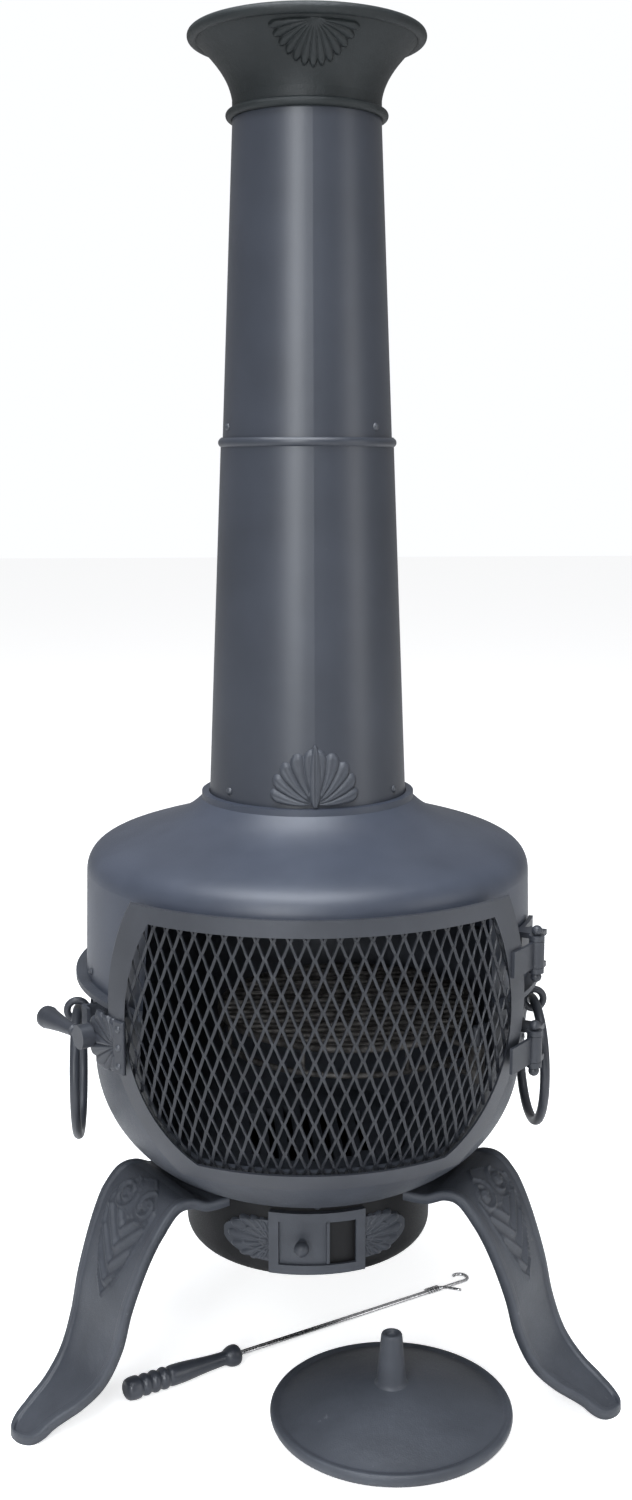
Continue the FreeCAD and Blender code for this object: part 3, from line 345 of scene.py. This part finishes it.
# %% Mesh helpers
def add_piece(name, points, faces, body, slot, replaced=(), smooth=True):
    """Mesh piece that rides on a body and may replace carried nodes."""
    data = bpy.data.meshes.new(name)
    data.from_pydata([tuple(map(float, p)) for p in points], [], faces)
    data.validate()
    data.polygons.foreach_set("use_smooth", [smooth] * len(data.polygons))
    piece = bpy.data.objects.new(name, data)
    bpy.context.scene.collection.objects.link(piece)
    finish_piece(piece, slot)
    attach(piece, body)
    if replaced:
        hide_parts(*replaced)
    return piece


def grid_faces(rows, columns, wrap=False):
    """Quads of a rows by columns grid of points; wrap joins the last column to the first."""
    last = columns if wrap else columns - 1
    faces = []
    for row in range(rows - 1):
        for column in range(last):
            a = row * columns + column
            b = row * columns + (column + 1) % columns
            faces.append((a, b, b + columns, a + columns))
    return faces


def turned(name, profile, centre, direction, body, slot, replaced=(), segments=96):
    """Lathe piece: (along, radius) points turned about a line from a centre."""
    axis = Vector(direction).normalized()
    side = axis.orthogonal().normalized()
    other = axis.cross(side)
    angles = np.arange(segments) * (2 * math.pi / segments)
    circle = np.outer(np.cos(angles), side) + np.outer(np.sin(angles), other)
    rings = [np.array(centre) + along * np.array(axis) + radius * circle for along, radius in profile]
    faces = grid_faces(len(profile), segments, wrap=True)
    return add_piece(name, np.concatenate(rings), faces, body, slot, replaced)


def rounded(points, steps=6):
    """Smooth run through profile points, Catmull-Rom style."""
    p = np.array([points[0]] + list(points) + [points[-1]], float)
    run = []
    for before, a, b, after in zip(p, p[1:], p[2:], p[3:]):
        for t in np.arange(steps) / steps:
            run.append(0.5 * (2 * a + (b - before) * t + (2 * before - 5 * a + 4 * b - after) * t ** 2
                              + (3 * a - before - 3 * b + after) * t ** 3))
    return np.array(run + [p[-1]])

# %% [markdown]
# ### The door's expanded metal
# Expanded metal starts as a sheet with rows of slits. Pulling it sideways opens every slit into a
# diamond, so each strand is a flat ribbon that zigzags from joint to joint and leans out of the
# sheet as it goes. A lattice of crossing wires would look wrong: real strands meet edge to edge
# and never cross. Here each ribbon runs up the door, swings a quarter pitch left and right every
# half diamond, and tips alternately, which gives the little highlights that a flat cut-out lacks.

# %% Door shape
door_low, door_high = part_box("door_mesh")
door_points = np.array([v.co for v in nodes["door_mesh"].data.vertices])
door_skin = np.hypot(door_points[:, 0], door_points[:, 1])
door_levels = np.linspace(door_low.z, door_high.z, 26)


def door_radius(z):
    """Radius of the door's inner face at a height, read from the carried door."""
    near = [door_skin[abs(door_points[:, 2] - level) < 0.012].min() for level in door_levels]
    return np.interp(z, door_levels, near)


def door_sides(z, inset):
    """Left and right edges of the door's mesh at a height, pulled in."""
    height = [door_low.z, 0.317, 0.397, door_high.z]
    left = np.polyval(np.polyfit(height, [-0.121, -0.168, -0.183, -0.161], 3), z)
    right = np.polyval(np.polyfit(height, [0.121, 0.167, 0.181, 0.161], 3), z)
    return left + inset, right - inset


print("door mesh stands", round(float(door_radius(0.45)) * 1000), "mm off the flue axis")

# %% Expanded metal
diamond_width = 0.0138
diamond_height = 0.030
ribbon_width = 0.0026
ribbon_depth = 0.0014
ribbon_lean = math.radians(32)
mesh_radius = door_radius(0.45)


def ribbon_section(azimuth, z, lean):
    """Four corners of a ribbon's section, turned by its lean."""
    radius = float(door_radius(z)) + 0.0014
    centre = polar(radius, azimuth, z)
    out = np.array([math.sin(azimuth), -math.cos(azimuth), 0])
    along = np.array([math.cos(azimuth), math.sin(azimuth), 0])
    wide = along * math.cos(lean) + out * math.sin(lean)
    thick = out * math.cos(lean) - along * math.sin(lean)
    corners = ((-1, -1), (1, -1), (1, 1), (-1, 1))
    return [centre + a * wide * ribbon_width / 2 + b * thick * ribbon_depth / 2 for a, b in corners]


def expanded_metal():
    """Points and faces of every ribbon on the door."""
    points, faces = [], []
    half = diamond_height / 2
    rows = int((door_high.z - door_low.z) / half)
    pitch = diamond_width / mesh_radius
    across = int(0.185 / diamond_width * 2) + 2
    steps = 4
    for strand in range(-across, across + 1):
        run = []
        for step in range(rows * steps + 1):
            z = door_low.z + 0.002 + step * half / steps
            phase = step / steps
            swing = abs((phase % 2) - 1) * 2 - 1
            sign = 1 if strand % 2 == 0 else -1
            azimuth = (strand + 0.5 * sign * swing * 0.86) * pitch / 2
            lean = ribbon_lean * sign * (1 if phase % 2 < 1 else -1) * math.sin(math.pi * (phase % 1))
            x = float(mesh_radius) * math.sin(azimuth)
            left, right_edge = door_sides(z, 0.002)
            inside = left < x < right_edge
            run.append((azimuth, z, lean, inside))
        for before, after in zip(run, run[1:]):
            if not (before[3] and after[3]):
                continue
            base = len(points)
            points += ribbon_section(*before[:3]) + ribbon_section(*after[:3])
            faces += [(base + k, base + (k + 1) % 4, base + 4 + (k + 1) % 4, base + 4 + k) for k in range(4)]
    return points, faces


mesh_points, mesh_faces = expanded_metal()
add_piece("door_expanded_metal", mesh_points, mesh_faces, "door", "mesh_black", ("door_mesh",),
          smooth=False)
print("expanded metal:", len(mesh_faces), "faces")

# %% [markdown]
# ### Carved shells and palmettes
# Five ornaments on this stove are the same idea: ribs that fan out from one point, each a rounded
# lobe with a sharp valley between it and the next. They could be sculpted by hand, but a formula
# keeps every rib crisp. In polar terms about the fan's foot, the angle says which lobe a point is
# in and how far across it, and the distance says how near it is to the lobe's tip. The height
# that comes out is then bent onto the flue, the crown or the drum.

# %% Fan relief
def fan_height(u, v, lobes, half_angle, length, height, twist=0.0, tip=0.16, dip=0.0):
    """Height of a fan of lobes about (0, 0), opening toward +v; length is a function of angle."""
    distance = np.hypot(u, v)
    angle = np.arctan2(u, v)
    angle = angle - np.sign(angle) * twist * distance
    share = (angle / half_angle + 1) / 2 * lobes
    across = (share - np.floor(share) - 0.5) * 2
    reach = length(np.abs(angle)) * (1 - tip * across ** 2)
    inside = (np.abs(angle) <= half_angle) & (distance < reach)
    crown = np.sqrt(np.clip(1 - across ** 2, 0, 1))
    lobe = 0.35 + 0.65 * crown - dip * np.exp(-(across / 0.3) ** 2)
    rim = np.clip((reach - distance) / (height * 1.1), 0, 1)
    root = np.clip(distance / (0.2 * length(np.zeros(1))[0]), 0.35, 1)
    return np.where(inside, height * lobe * np.sqrt(rim) * root, 0.0)


def bent_patch(name, u, v, height, place, body, slot, replaced=(), sink=0.0006):
    """Grid patch: place(u, v, h) gives points; parts with no height sink into the wall."""
    lift = np.where(height > 1e-6, height, -sink)
    points = place(u, v, lift).reshape(-1, 3)
    rows, columns = u.shape
    keep = []
    flat = height.reshape(-1)
    for face in grid_faces(rows, columns):
        if max(flat[k] for k in face) > 1e-6:
            keep.append(face)
    used = sorted({k for face in keep for k in face})
    where = {k: i for i, k in enumerate(used)}
    faces = [tuple(where[k] for k in face) for face in keep]
    return add_piece(name, points[used], faces, body, slot, replaced)


def plane_grid(width, low, high, step):
    """Even grid of (u, v) for a patch."""
    across = np.arange(-width, width + step, step)
    along = np.arange(low, high + step, step)
    return np.meshgrid(across, along)

# %% Palmette on the lower flue
badge_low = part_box("flue_badge")[0]
flue_points = np.array([v.co for v in nodes["lower_flue"].data.vertices])
flue_skin = np.hypot(flue_points[:, 0], flue_points[:, 1])
foot_radius = flue_skin[flue_points[:, 2] < flue_points[:, 2].min() + 0.002].max()
head_radius = 0.0795
flue_head_z = 0.887
flue_foot_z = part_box("lower_flue")[0].z


def flue_skin_radius(z):
    """Outer radius of the lower flue at a height."""
    return foot_radius + (z - flue_foot_z) / (flue_head_z - flue_foot_z) * (head_radius - foot_radius)


def on_flue(u, v, h):
    """Bend a flat patch round the flue's foot."""
    z = badge_low.z + v
    radius = flue_skin_radius(z) + h
    return polar(radius, u / foot_radius, z)


u, v = plane_grid(0.042, -0.001, 0.058, 0.00055)
palmette = fan_height(u, v - 0.0025, 11, math.radians(98), lambda a: 0.0505 - 0.009 * (a / 1.7) ** 2,
                      0.0042, twist=-5.0, tip=0.10, dip=0.12)
leaf_width = 0.0052 * np.sqrt(np.clip(np.sin(math.pi * np.clip(v / 0.0565, 0, 1) ** 0.75), 0, 1))
leaf_arch = (1 - (u / np.maximum(leaf_width, 1e-6)) ** 2) ** 0.5
leaf = np.where(np.abs(u) < leaf_width, 0.0030 + 0.0026 * leaf_arch, 0)
leaf = np.where(np.abs(u) < 0.0006, leaf - 0.0009, leaf)
palmette = np.maximum(palmette, leaf)
bent_patch("flue_palmette", u, v, palmette, on_flue, "stove", "cast_black", ("flue_badge",))
print("palmette spans", round(spread("flue_badge").x * 1000), "mm")

# %% Scallop on the crown
lip_gap = 0.0045
flare_radius = 0.088
flare = rounded([(1.1852, 0.0666), (1.2030, 0.0724), (1.2202, 0.0845), (1.2350, 0.0985)], 10)


def on_crown(u, v, h):
    """Hang a flat patch from the crown's lip, down along the flare."""
    slope_z, slope_r = flare[::-1, 0], flare[::-1, 1]
    walked = np.concatenate([[0], np.cumsum(np.hypot(np.diff(slope_z), np.diff(slope_r)))])
    z = np.interp(v + lip_gap, walked, slope_z)
    radius = np.interp(v + lip_gap, walked, slope_r)
    return polar(radius + h * 0.75, u / flare_radius, z - h * 0.6)


u, v = plane_grid(0.043, -0.001, 0.046, 0.0006)
scallop = fan_height(u, v, 13, math.radians(88), lambda a: 0.0405 + 0.002 * np.cos(2 * a),
                     0.0036, tip=0.14)
bent_patch("crown_scallop", u, v, scallop, on_crown, "stove", "crown_black", ("crown_shell",))
print("scallop has 13 ribs")

# %% Leaves beside the vent
drum_radius = spread("ash_drum").x / 2
vent_z = 0.160


def vent_leaf(side):
    """Pointed palmette on the drum, growing outward from the vent's frame."""
    root = math.radians(20.5) * side

    def on_drum(u, v, h):
        return polar(drum_radius + h, root + side * v / drum_radius, vent_z + u)

    u, v = plane_grid(0.022, -0.001, 0.050, 0.0006)
    ribs = fan_height(u, v + 0.002, 11, math.radians(86),
                      lambda a: 0.0215 + 0.0275 * np.clip(np.cos(a), 0, 1) ** 3.2, 0.0042, tip=0.1)
    boss = np.hypot(u, v - 0.006)
    rosette = np.where(boss < 0.006, 0.0026 + 0.0016 * np.cos(boss / 0.006 * math.pi * 2.5), 0)
    name = "vent_leaf_left" if side < 0 else "vent_leaf_right"
    return bent_patch(name, u, v, np.maximum(ribs, rosette), on_drum, "stove", "cast_black")


vent_leaf(-1)
vent_leaf(1)
print("vent leaves at drum radius", round(drum_radius * 1000), "mm")

# %% Palmette of the latch
latch_radius = 0.232
latch_z = 0.365
latch_root = math.radians(-50.5)


def on_latch(u, v, h):
    """Bend a flat patch round the door's left edge; v runs outward to the left."""
    return polar(latch_radius + h, latch_root - v / latch_radius, latch_z + u)


u, v = plane_grid(0.0255, -0.0135, 0.049, 0.0006)
strip = np.where((np.abs(u) < 0.0240) & (v > -0.0122) & (v < 0.0006), 0.0031, 0.0)
spray = fan_height(u, v + 0.0015, 9, math.radians(89),
                   lambda a: 0.0225 + 0.0240 * np.clip(np.cos(a), 0, 1) ** 1.4,
                   0.0040, tip=0.10, dip=0.10)
latch_leaf = bent_patch("latch_palmette", u, v, np.maximum(strip, spray), on_latch, "door", "frame_black",
                        ("latch_plate",))
backing = latch_leaf.modifiers.new("Cast thickness", "SOLIDIFY")
backing.thickness = 0.0014
backing.offset = -1
print("latch palmette has 9 ribs")

# %% Knob of the vent
slide_face_radius = 0.1222
knob_low, knob_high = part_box("vent_knob")
knob_out = Vector(((knob_low.x + knob_high.x) / 2, (knob_low.y + knob_high.y) / 2, 0)).normalized()
knob_from = knob_out * slide_face_radius + Vector((0, 0, (knob_low.z + knob_high.z) / 2))
knob_profile = [(0.0, 0.0045), (0.0030, 0.0034), (0.0058, 0.0034), (0.0072, 0.0054), (0.0102, 0.0068),
                (0.0136, 0.0069), (0.0168, 0.0056), (0.0188, 0.0030), (0.0193, 0.0002)]
turned("vent_knob_ball", rounded(knob_profile, 5), knob_from, knob_out, "air_slide", "cast_black",
       ("vent_knob",), 48)

# %% [markdown]
# ### Cast legs
# Each leg is one S-shaped casting: it leaves the bowl, turns over a knee, falls, and flicks out
# into a toe. Its face has a raised edge all the way round and, under the knee, a shield with two
# scrolls and a spray of leaves. The centre line is a smooth run through a few points. The face is
# a grid along that line, pushed out by a height that depends on the distance from the edge and on
# where in the shield the point is.

# %% Leg outline
leg_reach = 0.3218
leg_line = rounded([(0.125, 0.1985), (0.147, 0.1990), (0.165, 0.2060), (0.180, 0.2045), (0.193, 0.1920),
                    (0.204, 0.1750), (0.2155, 0.1500), (0.228, 0.115), (0.237, 0.080), (0.251, 0.050),
                    (0.270, 0.031), (0.292, 0.018), (0.306, 0.0082), (0.3135, 0.0047),
                    (leg_reach, 0.0045)], 20)
leg_half_thickness = 0.0045
toe_half_width = 0.0245


def leg_half_width(r):
    """Half the width of a leg at a radius: wide at the knee, a half circle at the toe."""
    toe_starts = leg_reach - toe_half_width
    width = np.interp(r, [0.197, 0.236, 0.280, toe_starts], [0.056, 0.0459, 0.0294, toe_half_width])
    past = np.clip((r - toe_starts) / toe_half_width, 0, 1)
    return np.where(past > 0, toe_half_width * np.sqrt(1 - past ** 2), width)


def scroll(u, v, turn):
    """Spiral ridge with a round eye, 18 mm in radius."""
    distance = np.hypot(u, v)
    phase = distance / 0.0078 - turn * np.arctan2(v, u) / (2 * math.pi)
    ridge = np.clip(np.cos(2 * math.pi * phase), -0.3, 1) * 0.0021
    eye_bump = np.where(distance < 0.0048, 0.0028, ridge)
    return np.where(distance < 0.0172, eye_bump, 0)


def shield(u, v):
    """Relief of the shield; v runs down from its point, 116 mm long."""
    width = np.interp(v, [0, 0.010, 0.026, 0.048, 0.078, 0.104, 0.116],
                      [0, 0.020, 0.037, 0.0365, 0.0265, 0.0125, 0.001])
    edge = width - np.abs(u)
    inside = (edge > 0) & (v > 0) & (v < 0.116)
    leaves = np.cos(2 * math.pi * (v + 0.95 * np.abs(u) - 0.006) / 0.0165)
    spray = np.clip(leaves, -0.35, 1) * 0.0022 - 0.0012 * (np.abs(u) < 0.0009)
    relief = np.where((v > 0.040) & (edge > 0.0036), spray, 0)
    for side in (-1, 1):
        relief = relief + scroll(u - side * 0.0186, v - 0.0245, side)
    line = 0.0021 * np.exp(-((edge - 0.001) / 0.0012) ** 2)
    return np.where(inside, relief, 0) + np.where((v > -0.001) & (v < 0.118), line, 0)


def leg_face(u, walked, half):
    """Height of the leg's face over its flat field."""
    edge = np.clip(half - np.abs(u), 0, None)
    round_off = np.clip(1 - edge / 0.0030, 0, 1)
    rim = -0.0028 * (1 - np.sqrt(1 - round_off ** 2))
    groove = np.clip((edge - 0.0075) / 0.0022, 0, 1)
    field = -0.0022 * groove * groove * (3 - 2 * groove)
    fade = np.clip((walked - 0.034) / 0.01, 0, 1)
    return rim + field * fade + shield(u, walked - 0.046)

# %% Build the legs
def cast_leg(name, azimuth):
    """One leg at an azimuth in degrees, replacing the carried one."""
    dense = np.linspace(0, len(leg_line) - 1, 260)
    r = np.interp(dense, range(len(leg_line)), leg_line[:, 0])
    z = np.interp(dense, range(len(leg_line)), leg_line[:, 1])
    walked = np.concatenate([[0], np.cumsum(np.hypot(np.diff(r), np.diff(z)))])
    run_r, run_z = np.gradient(r), np.gradient(z)
    size = np.hypot(run_r, run_z)
    out_r, out_z = -run_z / size, run_r / size
    half = np.maximum(leg_half_width(r), 0.0006)
    columns = 73
    t = np.sin(np.linspace(-1, 1, columns) * math.pi / 2 * 0.98) / math.sin(math.pi / 2 * 0.98)
    u = np.outer(half, t)
    lift = leg_half_thickness + leg_face(u, walked[:, None] * np.ones(columns), half[:, None])
    back_t = t[::-2]
    back_u = np.outer(half, back_t)
    back_lift = -leg_half_thickness * np.ones_like(back_u)
    u_all = np.concatenate([u, back_u], 1)
    lift_all = np.concatenate([lift, back_lift], 1)
    radius = r[:, None] + out_r[:, None] * lift_all
    height = z[:, None] + out_z[:, None] * lift_all
    angle = math.radians(azimuth)
    x = radius * math.sin(angle) + u_all * math.cos(angle)
    y = -radius * math.cos(angle) + u_all * math.sin(angle)
    points = np.stack([x, y, np.maximum(height, 0.0)], -1)
    rows, wide = u_all.shape
    faces = grid_faces(rows, wide, wrap=True)
    faces.append(tuple(range(wide))[::-1])
    faces.append(tuple(range((rows - 1) * wide, rows * wide)))
    return add_piece(name + "_casting", points.reshape(-1, 3), faces, "stove", "cast_black", (name,))


for leg_name, leg_azimuth in (("leg_left", -60), ("leg_right", 60), ("leg_rear", 180)):
    cast_leg(leg_name, leg_azimuth)
print("legs reach", round(float(leg_line[-1][0]) * 1000), "mm from the axis")

# %% [markdown]
# ### The loose lid
# The lid is a shallow cast dome with a rolled lip, a groove just inside it, and a hollow-topped
# stem for lifting. Everything on it is round, so it is turned from one profile: a list of heights
# and radii, smoothed and spun.

# %% Lid
lid_low, lid_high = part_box("lid_disc")
lid_centre = ((lid_low.x + lid_high.x) / 2, (lid_low.y + lid_high.y) / 2, 0.0)
dome_profile = [(0.0300, 0.0004), (0.0265, 0.035), (0.0170, 0.074), (0.0050, 0.1045), (0.0008, 0.1062),
                (0.0004, 0.1078), (0.0030, 0.1104), (0.0066, 0.1118), (0.0100, 0.1116), (0.0122, 0.1098),
                (0.0124, 0.1070), (0.0114, 0.1040), (0.0122, 0.0995), (0.0192, 0.0790), (0.0265, 0.0540),
                (0.0320, 0.0300), (0.0342, 0.0170), (0.0350, 0.0110)]
turned("lid_dome", rounded(dome_profile, 5), lid_centre, (0, 0, 1), "lid", "cast_black", ("lid_disc",), 160)
stem_profile = [(0.0330, 0.0170), (0.0352, 0.0150), (0.0385, 0.0137), (0.0480, 0.0128), (0.0640, 0.0113),
                (0.0790, 0.0100), (0.0825, 0.0094), (0.0838, 0.0080), (0.0832, 0.0062), (0.0806, 0.0048),
                (0.0796, 0.0025), (0.0795, 0.0002)]
turned("lid_handle", rounded(stem_profile, 5), lid_centre, (0, 0, 1), "lid", "cast_black", ("lid_stem",), 64)
print("lid centre", [round(value, 3) for value in lid_centre])

# %% [markdown]
# ### The poker
# The poker has a turned grip with a rounded cap, three grooves for the fingers, a slim waist and a
# ball collar. Its shaft is a pair of thin bright wires that run together and are crimped near the
# tip, where one curls into a hook and the other stands off as a prong.

# %% Poker grip
poker_from = Vector((-0.180, -0.113, 0.01425))
poker_to = Vector((0.176, 0.094, 0.0026))
poker_run = (poker_to - poker_from).normalized()
poker_length = (poker_to - poker_from).length
grip_profile = [(0.0, 0.0002), (0.0004, 0.006), (0.0028, 0.0096), (0.0080, 0.0108), (0.0135, 0.0106),
                (0.0165, 0.0086)]
for rib in range(3):
    start = 0.0165 + rib * 0.0098
    grip_profile += [(start + 0.0030, 0.0101), (start + 0.0062, 0.0103), (start + 0.0098, 0.0086)]
grip_profile += [(0.0500, 0.0097), (0.0640, 0.0094), (0.0860, 0.0076), (0.1040, 0.0067), (0.1090, 0.0070),
                 (0.1130, 0.0090), (0.1175, 0.0103), (0.1222, 0.0099), (0.1252, 0.0072), (0.1260, 0.0020)]
turned("poker_turned_grip", rounded(grip_profile, 5), poker_from, poker_run, "poker", "poker_grip",
       ("poker_handle",), 64)


def wire(name, points, radius, body, slot, replaced=()):
    """Round wire along a smooth run of points, as mesh."""
    run = np.array(points, float)
    tangents = np.gradient(run, axis=0)
    side = Vector(tangents[0]).normalized().orthogonal().normalized()
    count = 14
    rings = []
    for place, tangent in zip(run, tangents):
        along = Vector(tangent).normalized()
        side = (side - along * side.dot(along)).normalized()
        other = along.cross(side)
        for k in range(count):
            a = 2 * math.pi * k / count
            spoke = math.cos(a) * np.array(side) + math.sin(a) * np.array(other)
            rings.append(np.array(place) + radius * spoke)
    faces = grid_faces(len(run), count, wrap=True)
    faces.append(tuple(range(count))[::-1])
    faces.append(tuple(range((len(run) - 1) * count, len(run) * count)))
    return add_piece(name, rings, faces, body, slot, replaced)


# %% Poker wires
poker_side = Vector((-poker_run.y, poker_run.x, 0)).normalized()


def poker_point(along, across, up=0.0):
    """Point beside the poker's line."""
    return poker_from + poker_run * along + poker_side * across + Vector((0, 0, up))


hook_r = 0.0078
hook_start = poker_length - 0.001
grip_end = poker_point(0.120, -0.0012)
halfway = poker_point(0.25, -0.0010)
bend = poker_point(hook_start, -0.0009)
main_run = [grip_end.lerp(halfway, k / 8) for k in range(8)] + [halfway.lerp(bend, k / 8) for k in range(9)]
curl = [poker_point(hook_start + hook_r * math.sin(a), -0.0009 + hook_r * (1 - math.cos(a)))
        for a in np.linspace(0.15, 3.6, 22)]
wire("poker_hook_wire", main_run + curl, 0.0017, "poker", "poker_steel", ("poker_rod",))
prong_start = poker_length - 0.036
side_run = [poker_point(0.120 + (prong_start - 0.120) * k / 16, 0.0019 - 0.0006 * k / 16) for k in range(17)]
prong = [poker_point(prong_start + 0.014 * k / 8, 0.0013 - 0.021 * (k / 8) ** 1.5, 0.003 * k / 8)
         for k in range(1, 9)]
wire("poker_prong_wire", side_run + prong, 0.0015, "poker", "poker_steel")
coil = []
coil_turns = 5
coil_steps = 140
coil_start = poker_length - 0.052
for k in range(coil_steps):
    a = k / coil_steps * coil_turns * 2 * math.pi
    coil.append(poker_point(coil_start + 0.017 * k / coil_steps, 0.0002 + 0.0036 * math.cos(a),
                            0.0006 + 0.0022 * math.sin(a)))
wire("poker_crimp", coil, 0.0008, "poker", "poker_steel", ("poker_collar",))
print("poker is", round(poker_length * 1000), "mm long")
